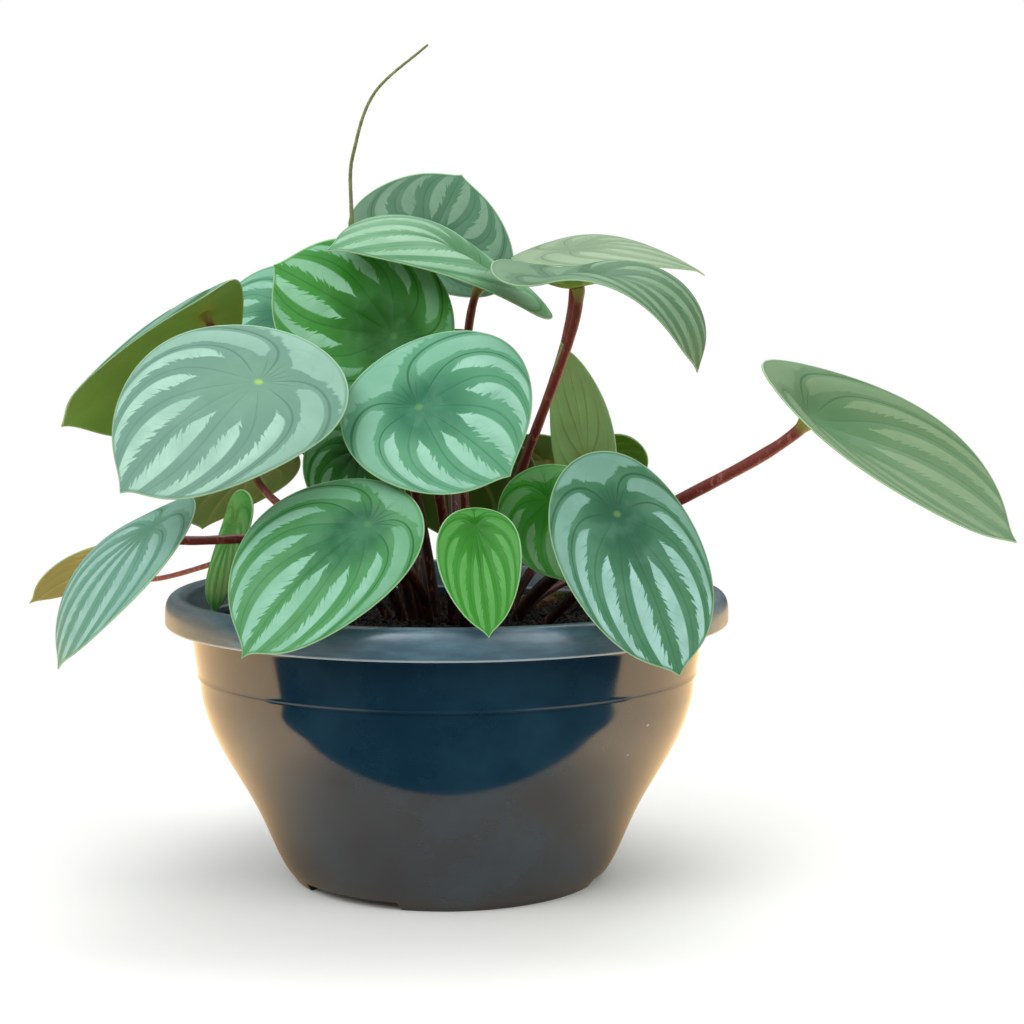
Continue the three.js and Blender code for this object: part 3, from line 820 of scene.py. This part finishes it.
def stored_shade(tree, name):
    return add_node(tree, "ShaderNodeAttribute", attribute_name=name).outputs["Vector"]


def pattern_place(tree):
    """Where a point of the upper side lies in the blade's pattern, and of what kind its blade is."""
    at = SimpleNamespace()
    at.veins, at.distance, side = stored(tree, "vein_place")
    at.past_star, at.rim = stored(tree, "rim_place")[:2]
    at.faint, at.seed, at.navel = stored(tree, "leaf_kind")
    at.within = maths("FRACT", at.veins)
    band = plus(maths("FLOOR", at.veins), times(side, 9.3))
    at.band = times(plus(band, at.seed), 3.7)
    at.heelward = ramp(at.veins, *HEEL_VEINS)
    return at


def side_veins(at):
    """The share of the way from one side vein to the next that a point lies at, and a roughness there."""
    past_vein = minus(at.distance, times(at.within, SIDE_VEIN_SLANT))
    phase = maths("DIVIDE", past_vein, SIDE_VEIN_STEP)
    place = next_node("ShaderNodeCombineXYZ", {0: phase, 1: at.band, 2: at.seed}).outputs[0]
    wander = times(noise(place, 0.7, 2), SIDE_VEIN_WANDER)
    return maths("FRACT", plus(phase, wander)), noise(place, 2.2, 3, 0.6)


def silver_bands(at):
    """How silver a point is: in bands between the veins, which are toothed by the side veins."""
    tooth, rough = side_veins(at)
    jag = times(minus(tooth, 0.5), TOOTH_DEPTH)
    jag = plus(jag, times(minus(rough, 0.5), RAGGEDNESS))
    jag = times(jag, ramp(at.heelward, 0, 1, 1, 0.5))
    start = minus(at.past_star, ramp(at.veins, 0.5, 2.5, 0, 0.13))
    opened = ramp(plus(start, times(jag, 0.5)), 0.0, BAND_OPENING)
    inner = ramp(opened, 0, 1, BAND_WHERE_IT_OPENS[0], BAND_AT_RIM[0])
    inner = plus(plus(inner, times(at.heelward, -0.14)), jag)
    outer = ramp(opened, 0, 1, BAND_WHERE_IT_OPENS[1], BAND_AT_RIM[1])
    outer = plus(outer, times(at.heelward, 0.11))
    beyond_inner = maths("DIVIDE", minus(at.within, inner), BAND_SOFTNESS)
    before_outer = maths("DIVIDE", minus(outer, at.within), BAND_SOFTNESS)
    silver = times(ramp(beyond_inner, 0, 1), ramp(before_outer, 0, 1))
    silver = times(silver, ramp(opened, 0.02, 0.15))
    silver = times(silver, ramp(at.rim, 0.6, 1.6, 0.2, 1))
    cut = times(ramp(tooth, 0, 0.13, 0.6, 0), ramp(at.within, 0.7, 0.35))
    cut = times(cut, ramp(at.heelward, 0, 1, 1, 0.3))
    silver = minus(silver, times(cut, silver))
    silver = times(silver, minus(1.0, at.faint))
    return times(silver, ramp(at.heelward, 0, 1, 1, 0.55))


def vein_lines(at):
    """How dark a point is for a main vein, or for one of the fine lines on the heel by the navel."""
    to_vein = maths("PINGPONG", at.veins, 0.5)
    line = times(ramp(to_vein, 0.012, 0.05, 1, 0), ramp(at.distance, 3.0, 8.0))
    line = times(line, ramp(at.heelward, 0, 1, 0.35, 0.7))
    to_fine = maths("PINGPONG", times(at.veins, 4.0), 0.5)
    fine = times(ramp(to_fine, 0.05, 0.2, 0.6, 0), ramp(at.veins, 3.4, 3.8))
    return maths("MAXIMUM", line, times(fine, ramp(at.distance, 13.0, 4.0)))


def striped_upper_side():
    """Green along the veins, and silver between, where air lies under the waxy skin."""
    material, tree, shader = new_material("striped upper side", 0.42, Specular_IOR_Level=0.22)
    at = pattern_place(tree)
    silver = silver_bands(at)
    place = own_place(tree)
    patches = noise(place, 90, 3)
    deep, soft, pale = (stored_shade(tree, "leaf_" + shade) for shade in ("deep", "green", "silver"))
    green = mixed(ramp(at.past_star, -0.12, 0.4), deep, soft)
    green = mixed(ramp(patches, 0.4, 0.7, 0, 0.3), green, mixed(0.3, soft, pale))
    colour = mixed(silver, green, mixed(ramp(patches, 0.3, 0.7, 0, 0.35), pale, soft))
    colour = mixed(vein_lines(at), colour, mixed(0.5, deep, "#0f3a22"))
    spot = times(ramp(at.distance, 0.4, 1.9, 1, 0), at.navel)
    colour = mixed(spot, colour, "#9bc860")
    colour = mixed(ramp(at.rim, 0.2, 0.6, 0.6, 0), colour, "#b4d9a8")
    joined(colour, shader, "Base Color")
    joined(ramp(silver, 0, 1, 0.4, 0.48), shader, "Roughness")
    joined(relief(noise(place, 1500, 2), WAX_DEPTH), shader, "Normal")
    return material


def dull_underside():
    """The pale, dull underside, where the same veins show as faint lighter lines.

    Some daylight comes through.
    """
    material, tree, shader = new_material(
        "dull underside", 0.5, Specular_IOR_Level=0.3,
        Subsurface_Weight=0.8, Subsurface_Scale=BLADE_THICKNESS,
    )
    veins, distance = stored(tree, "vein_place")[:2]
    rim, share = stored(tree, "rim_place")[1:]
    to_vein = maths("PINGPONG", veins, 0.5)
    patches = noise(own_place(tree), 60, 3)
    green = mixed(ramp(patches, 0.3, 0.7, 0, 0.2), stored_shade(tree, "leaf_under"), "#46661f")
    line = times(ramp(to_vein, 0.03, 0.12, 0.5, 0), ramp(share, 0.95, 0.6))
    green = mixed(line, green, "#86a050")
    green = mixed(ramp(distance, 1.5, 9.0, 0.7, 0), green, "#9aa83c")
    green = mixed(ramp(rim, 0.3, 0.8, 0.6, 0), green, "#a4c98a")
    joined(green, shader, "Base Color")
    joined(relief(noise(own_place(tree), 1200, 2), SKIN_DEPTH), shader, "Normal")
    return material


def make_blades():
    upper, under = striped_upper_side(), dull_underside()
    for name, leaf in LEAVES.items():
        mesh = blade_mesh(name, leaf)
        mesh.materials.append(upper)
        mesh.materials.append(under)
        new_piece("leaf_" + name, mesh, "blade_" + name)


make_blades()


# The petioles and the flower spike
# Round, fleshy red stalks rise from the crown in the soil and turn to meet their blades square on, where
# they widen and go yellow-green. The one flower spike is a thin olive tail, set with tiny florets higher up.

PETIOLE_FOOT_SWELL = 1.15
PETIOLE_TOP_TAPER = 0.9
PETIOLE_FLARE = 0.55
PETIOLE_FLARE_LENGTH = 5 * MM
PETIOLE_STEPS = 64
ROOT_DEPTH = 12 * MM
STEM_SIDES = 16
SPIKE_RADIUS = 1.4 * MM
SPIKE_TIP_RADIUS = 0.5 * MM
SPIKE_STEPS = 160
FLORET_RADIUS = 0.15 * MM
FLORETS_PER_AREA = 4000000
FLORETS_FROM = 0.55
FLORET_SEED = 5

# The place of the spike's foot and its route above the soil, in millimetres.
SPIKE_ROOT = (-2, 16)
SPIKE_ROUTE = (
    (-14, 34, 150), (-33, 42, 215), (-37, 40, 255), (-35, 35, 272), (-27, 30, 292), (-7, 25, 309),
)


def foot_of(root):
    x, y = root[0] * MM, root[1] * MM
    return np.array((x, y, soil_height(x, y) - ROOT_DEPTH))


def petiole_route(leaf):
    """Points from the foot in the soil to the underside of the blade, at the navel."""
    shape = blade_shape(leaf)
    up = shape["up"]
    end = shape["navel"] - up * (shape["dish"] + BLADE_THICKNESS / 2)
    foot = foot_of(leaf["root"])
    reach = np.linalg.norm(end - foot)
    sweep = leaf["sweep"]
    rise = foot + np.array((sweep[0] * MM, sweep[1] * MM, reach * leaf["rise"]))
    approach = end - up * reach * leaf["approach"]
    return [
        foot * (1 - t) ** 3 + rise * 3 * t * (1 - t) ** 2 + approach * 3 * t ** 2 * (1 - t) + end * t ** 3
        for t in (step / PETIOLE_STEPS for step in range(PETIOLE_STEPS + 1))
    ]


def spike_route():
    """The spike's points, on a smooth curve through its route."""
    stops = [Vector(foot_of(SPIKE_ROOT))] + [Vector(place) * MM for place in SPIKE_ROUTE]
    return smooth_curve(stops, SPIKE_STEPS // len(SPIKE_ROUTE))


def thread(route):
    """A route as a bare line of points, for a geometry tree to thicken."""
    mesh = bpy.data.meshes.new("route")
    mesh.from_pydata([tuple(point) for point in route], [(i, i + 1) for i in range(len(route) - 1)], [])
    return mesh


def kept_number(geometry, name, value):
    """The geometry, with a number kept at each of its points under a name."""
    node = next_node("GeometryNodeStoreNamedAttribute", {
        "Geometry": geometry, "Name": name, "Value": value,
    }, data_type="FLOAT", domain="POINT")
    return node.outputs["Geometry"]


def with_florets(skin, per_area):
    """A stem's skin with florets strewn over its upper part."""
    tree = skin.node.id_data
    along = add_node(tree, "GeometryNodeInputNamedAttribute", {"Name": "along"}, data_type="FLOAT")
    bearing = maths("GREATER_THAN", along.outputs[0], FLORETS_FROM)
    floret = add_node(tree, "GeometryNodeMeshIcoSphere", {"Radius": FLORET_RADIUS, "Subdivisions": 1})
    florets = next_node("GeometryNodeInstanceOnPoints", {
        "Points": spread(skin, per_area, FLORET_SEED, Selection=bearing)["Points"],
        "Instance": floret.outputs["Mesh"],
    })
    return both_of(florets.outputs["Instances"], skin)


def stem_maker(name, material, bears_florets=False):
    """A round stem along a line: swollen at the foot, tapering up, and flared into what it carries."""
    tree, given = new_maker(name, ("Foot Radius", "Top Radius", "Flare", "Flare Length", "Florets"))
    line = next_node("GeometryNodeMeshToCurve", {"Mesh": given["Geometry"]})
    spline = add_node(tree, "GeometryNodeSplineParameter").outputs
    length = add_node(tree, "GeometryNodeSplineLength").outputs["Length"]
    to_top = minus(length, spline["Length"])
    narrowing = times(spline["Factor"], minus(given["Top Radius"], given["Foot Radius"]))
    flared = maths("DIVIDE", to_top, given["Flare Length"])
    flare = times(given["Flare"], ramp(flared, 0, 1, 1, 0))
    radius = plus(plus(given["Foot Radius"], narrowing), flare)
    lumps = noise(add_node(tree, "GeometryNodeInputPosition").outputs[0], 110.0, 2)
    radius = times(radius, ramp(lumps, 0.2, 0.8, 0.93, 1.07))
    path = kept_number(line.outputs["Curve"], "along", spline["Factor"])
    path = kept_number(path, "to_top", times(to_top, 1 / MM))
    ring = add_node(tree, "GeometryNodeCurvePrimitiveCircle", {"Resolution": STEM_SIDES, "Radius": 1.0})
    skin = next_node("GeometryNodeCurveToMesh", {
        "Curve": path, "Profile Curve": ring.outputs["Curve"], "Scale": radius, "Fill Caps": True,
    }).outputs["Mesh"]
    if bears_florets:
        skin = with_florets(skin, given["Florets"])
    finish_maker(tree, skin, material)
    return tree


def kept_on_stem(tree, name):
    return add_node(tree, "ShaderNodeAttribute", attribute_name=name).outputs["Fac"]


def red_stalk():
    """Brown-red skin with paler flecks, near-black low in the crown, going yellow-green at the blade."""
    material, tree, shader = new_material("red stalk", 0.4)
    place = own_place(tree)
    mottle = noise(place, 130, 4, 0.6)
    flecks = noise(stretched(place, (700, 700, 130)), 1.0, 2)
    red = mixed(ramp(mottle, 0.3, 0.7), "#200e0b", "#3f1d17")
    red = mixed(ramp(kept_on_stem(tree, "along"), 0.25, 0.8, 0, 0.8), red, "#80302a")
    red = mixed(ramp(flecks, 0.58, 0.7, 0, 0.45), red, "#b27362")
    red = mixed(ramp(kept_on_stem(tree, "to_top"), 1.0, 7.0, 0.9, 0), red, "#8a8c3c")
    joined(red, shader, "Base Color")
    joined(relief(flecks, 0.12 * MM), shader, "Normal")
    return material


def olive_tail():
    """Olive green stalk, a little paler where the florets sit."""
    material, tree, shader = new_material("olive flower spike", 0.6)
    along = kept_on_stem(tree, "along")
    mottle = noise(own_place(tree), 300, 2)
    stalk = mixed(ramp(along, 0.1, 0.5), "#6a4a2c", "#73824a")
    tail = mixed(ramp(mottle, 0.35, 0.65), "#6f7c42", "#84905a")
    joined(mixed(ramp(along, 0.5, 0.6), stalk, tail), shader, "Base Color")
    return material


def make_stems():
    tree = stem_maker("petiole along its route", red_stalk())
    for name, leaf in LEAVES.items():
        radius = leaf["stem"] * MM
        mesh = made_by(tree, thread(petiole_route(leaf)), {
            "Foot Radius": radius * PETIOLE_FOOT_SWELL, "Top Radius": radius * PETIOLE_TOP_TAPER,
            "Flare": PETIOLE_FLARE * radius, "Flare Length": PETIOLE_FLARE_LENGTH,
        })
        mesh.shade_smooth()
        new_piece("stalk_" + name, mesh, "petiole_" + name)
    tree = stem_maker("flower spike along its route", olive_tail(), bears_florets=True)
    mesh = made_by(tree, thread(spike_route()), {
        "Foot Radius": SPIKE_RADIUS, "Top Radius": SPIKE_TIP_RADIUS - FLORET_RADIUS / 2, "Flare": 0.0,
        "Flare Length": MM, "Florets": FLORETS_PER_AREA,
    })
    mesh.shade_smooth()
    new_piece("flower_tail", mesh, "flower_spike")


make_stems()


# The moss and the bark chip
# A cushion of yellow-green moss and a thin chip of pine bark, 20 mm long, on the soil behind the right-hand
# stalks. The moss has grown there, and the chip lies loose on the soil.

MOSS_PLACE = (50 * MM, 62 * MM)
MOSS_HALF_SIZE = (15 * MM, 10 * MM, 4 * MM)
MOSS_STEPS = 24
MOSS_KNOB = 0.12
MOSS_SQUASH = 0.75
MOSS_SUNK = 0.4 * MM
MOSS_STRAND = 2.2 * MM
MOSS_TILT = 0.9
MOSS_PER_AREA = 4500000
MOSS_SEED = 21
BARK_PLACE = (34 * MM, 44 * MM)
BARK_SIZE = (20 * MM, 9 * MM, 4 * MM)
BARK_TURN = math.radians(35)
BARK_TILT = math.radians(7)
BARK_CUTS = 9
BARK_WEAR = 0.5
BARK_RIDGES = (0.35 * MM, 0.2 * MM)
BARK_CREASE = math.radians(40)


def leafy_moss():
    material, tree, shader = new_material("yellow-green moss", 0.8)
    place = own_place(tree)
    patches = noise(place, 160, 4)
    moss = mixed(ramp(patches, 0.35, 0.65), "#33401a", "#8d9440")
    moss = mixed(ramp(noise(place, 700, 2), 0.6, 0.7, 0.0, 0.6), moss, "#6b4c2a")
    joined(moss, shader, "Base Color")
    return material


def cushion():
    """The moss cushion's knobbly upper side, down to the soil."""
    profile = [(0, -1)]
    for step in range(1, MOSS_STEPS):
        angle = math.pi * step / MOSS_STEPS
        profile.append((math.sin(angle), -math.cos(angle)))
    profile.append((0, 1))
    mesh = turned(profile, 2 * MOSS_STEPS)
    for vertex in mesh.vertices:
        knob = 1 + MOSS_KNOB * math.sin(9 * vertex.co.x) * math.cos(8 * vertex.co.y)
        x, y, z = (knob * side * half for side, half in zip(vertex.co, MOSS_HALF_SIZE))
        x += MOSS_PLACE[0]
        y += MOSS_PLACE[1]
        vertex.co = (x, y, soil_height(x, y) + max(z * MOSS_SQUASH, -MOSS_SUNK))
    return mesh


def moss_maker(material):
    tree, given = new_maker("moss strands on their cushion", ("Strand Length", "Strands"))
    spots = spread(given["Geometry"], given["Strands"], MOSS_SEED)
    tilt = at_random(tree, (-MOSS_TILT, -MOSS_TILT, 0.0), (MOSS_TILT, MOSS_TILT, math.tau), MOSS_SEED + 1)
    turn = next_node("FunctionNodeRotateRotation", {
        "Rotation": spots["Rotation"], "Rotate By": tilt,
    }, rotation_space="LOCAL")
    size = add_node(tree, "FunctionNodeRandomValue", {2: 0.4, 3: 1.0, "Seed": MOSS_SEED + 2})
    strand = add_node(tree, "GeometryNodeMeshCone", {
        "Vertices": 4, "Radius Top": 0.02, "Radius Bottom": 0.14, "Depth": 1.0,
    }, fill_type="NGON")
    strands = next_node("GeometryNodeInstanceOnPoints", {
        "Points": spots["Points"], "Instance": strand.outputs["Mesh"], "Rotation": turn.outputs[0],
        "Scale": times(size.outputs[1], given["Strand Length"]),
    })
    finish_maker(tree, both_of(strands.outputs["Instances"], given["Geometry"]), material)
    return tree


def rough_bark():
    material, tree, shader = new_material("weathered bark", 0.85)
    place = next_node("ShaderNodeMapping", {
        "Vector": own_place(tree), "Rotation": (0, 0, -BARK_TURN), "Scale": (90, 520, 520),
    }).outputs["Vector"]
    grain = noise(place, 1.0, 5, 0.65)
    joined(mixed(ramp(grain, 0.3, 0.7), "#2a1a10", "#8a6744"), shader, "Base Color")
    joined(relief(grain, 0.8 * MM), shader, "Normal")
    return material


def chip_mesh():
    """A thin slab, split along its grain and worn at its edges."""
    shape = bmesh.new()
    bmesh.ops.create_cube(shape, size=1)
    bmesh.ops.subdivide_edges(shape, edges=shape.edges[:], cuts=BARK_CUTS, use_grid_fill=True)
    turn = Matrix.Rotation(BARK_TURN, 3, "Z") @ Matrix.Rotation(BARK_TILT, 3, "X")
    rest = Vector((*BARK_PLACE, soil_height(*BARK_PLACE) + BARK_SIZE[2] / 3))
    for vertex in shape.verts:
        x, y, z = vertex.co
        worn = 1 - BARK_WEAR * abs(2 * x) ** 4 * abs(2 * y)
        place = Vector((x * BARK_SIZE[0], y * BARK_SIZE[1] * worn, z * BARK_SIZE[2] * worn))
        if z > 0:
            place.z += BARK_RIDGES[0] * math.sin(y * 31 + 2 * math.sin(x * 5))
            place.z += BARK_RIDGES[1] * math.sin(x * 23 + y * 9)
        vertex.co = turn @ place + rest
    mesh = mesh_of(shape, "chip")
    mesh.shade_smooth()
    mesh.set_sharp_from_angle(angle=BARK_CREASE)
    return mesh


def make_litter():
    moss = made_by(moss_maker(leafy_moss()), cushion(), {
        "Strand Length": MOSS_STRAND, "Strands": MOSS_PER_AREA,
    })
    new_piece("moss_cushion", moss, "moss_clump")
    new_piece("bark_sliver", chip_mesh(), "bark_chip", rough_bark())


make_litter()


# The studio
# A pale round floor in soft light from above, seen from the height of the leaves and a little downwards. The
# glossy planter mirrors a tan table that ends not far in front of it, so cards stand in for that. They are a
# painted
# reflection: a tan card that glows at its sides as painted light, and a black card past its edge as painted
# shade.

FLOOR_RADIUS = 0.5
FLOOR_SEGMENTS = 160
CARD_REACH = 1.2
TAN = "#e3bd8c"
TAN_HEIGHT = 0.2 * MM
TAN_GLOW = 1.3
GLOW_FROM = 60 * MM
GLOW_FULL = 150 * MM
BLACK_EDGE = -99 * MM
BLACK_HEIGHT = 0.4 * MM
LIGHT_TARGET = (0, 0, 160 * MM)
CAMERA_PLACE = (0, -740 * MM, 199.5 * MM)
CAMERA_PITCH = math.radians(85)
CAMERA_TURN = math.radians(-1.85)
LENS = 70.3
SENSOR = 36


def stage_sheet(name, shape, colour, roughness):
    """A flat thing of the studio, in one plain colour."""
    sheet = placed(name, mesh_of(shape, name))
    material, _, shader = new_material(name, roughness, Specular_IOR_Level=0.0)
    shader.inputs["Base Color"].default_value = linear(colour)
    sheet.data.materials.append(material)
    return sheet


def make_floor():
    shape = bmesh.new()
    bmesh.ops.create_circle(shape, cap_ends=True, segments=FLOOR_SEGMENTS, radius=FLOOR_RADIUS)
    stage_sheet("floor", shape, "#f7f5f1", 0.8)


def make_card(name, colour, near_edge, height):
    """A coloured card laid on the floor out of sight, a painted reflection: only the gloss of the planter
    and leaves shows it.
    """
    shape = bmesh.new()
    bmesh.ops.create_grid(shape, x_segments=1, y_segments=1, size=1)
    bmesh.ops.scale(shape, vec=(CARD_REACH, CARD_REACH, 1), verts=shape.verts)
    bmesh.ops.translate(shape, vec=(0, near_edge - CARD_REACH, height), verts=shape.verts)
    card = stage_sheet(name, shape, colour, 0.9)
    card.visible_camera = False
    card.visible_diffuse = False
    card.visible_shadow = False
    return card


def light_sides(card, colour):
    """Makes a card glow away from the middle, a painted light like a table that light falls on from both
    sides.
    """
    tree = card.data.materials[0].node_tree
    across = next_node("ShaderNodeSeparateXYZ", {0: own_place(tree)}).outputs["X"]
    shader = tree.nodes["Principled BSDF"]
    shader.inputs["Emission Color"].default_value = linear(colour)
    glow = ramp(maths("ABSOLUTE", across), GLOW_FROM, GLOW_FULL, 0.0, TAN_GLOW)
    joined(glow, shader, "Emission Strength")


def make_light(name, place, size, power, colour):
    """A square soft box that faces the plant."""
    lamp = bpy.data.lights.new(name, "AREA")
    lamp.shape = "SQUARE"
    lamp.size = size
    lamp.energy = power
    lamp.color = colour
    box = placed(name, lamp)
    box.location = place
    towards = Vector(LIGHT_TARGET) - Vector(place)
    box.rotation_euler = towards.to_track_quat("-Z", "Y").to_euler()


def make_air():
    """Light from a bright ceiling and warm walls, dim below. The camera sees plain white past the floor."""
    world = bpy.data.worlds.new("studio")
    world.use_nodes = True
    tree = world.node_tree
    way = add_node(tree, "ShaderNodeTexCoord").outputs["Generated"]
    way = next_node("ShaderNodeSeparateXYZ", {0: way}).outputs
    ceiling = ramp(way["Z"], -0.05, 0.7, 0.06, 0.85)
    walls = ramp(maths("ABSOLUTE", way["X"]), 0.3, 0.9)
    warm = ramp(way["Z"], 0, 0.45)
    lit = tree.nodes["Background"]
    joined(mixed(warm, (1.0, 0.8, 0.6, 1), (0.93, 0.97, 1.0, 1)), lit, "Color")
    joined(maths("MAXIMUM", ceiling, walls), lit, "Strength")
    plain = add_node(tree, "ShaderNodeBackground", {"Color": (1, 1, 1, 1), "Strength": 1})
    seen = add_node(tree, "ShaderNodeLightPath").outputs["Is Camera Ray"]
    both = next_node("ShaderNodeMixShader", {0: seen, 1: lit.outputs[0], 2: plain.outputs[0]})
    joined(both.outputs[0], tree.nodes["World Output"], "Surface")
    bpy.context.scene.world = world


def make_camera():
    lens = bpy.data.cameras.new("camera")
    lens.lens = LENS
    lens.sensor_width = SENSOR
    camera = placed("camera", lens)
    camera.location = CAMERA_PLACE
    camera.rotation_euler = (CAMERA_PITCH, 0, CAMERA_TURN)
    bpy.context.scene.camera = camera


def make_studio():
    make_floor()
    # The tan card's glow is painted light, seen only as a painted reflection in the gloss.
    light_sides(make_card("tan card", TAN, CARD_REACH, TAN_HEIGHT), TAN)
    # The black card is painted shade: a dark sheet, seen only in the gloss, for the unlit room past the
    # table's front edge.
    make_card("black card", "#030406", BLACK_EDGE, BLACK_HEIGHT)
    make_air()
    make_light("window light", (-0.9, -1.1, 1.3), 1.2, 16, (0.95, 0.98, 1.0))
    make_light("fill light", (1.2, -1.2, 0.9), 1.4, 9, (1.0, 0.98, 0.95))
    make_light("top light", (0.2, 0.5, 1.6), 1.2, 11, (0.97, 0.99, 1.0))
    bpy.context.scene.view_settings.view_transform = "Standard"
    make_camera()


make_studio()
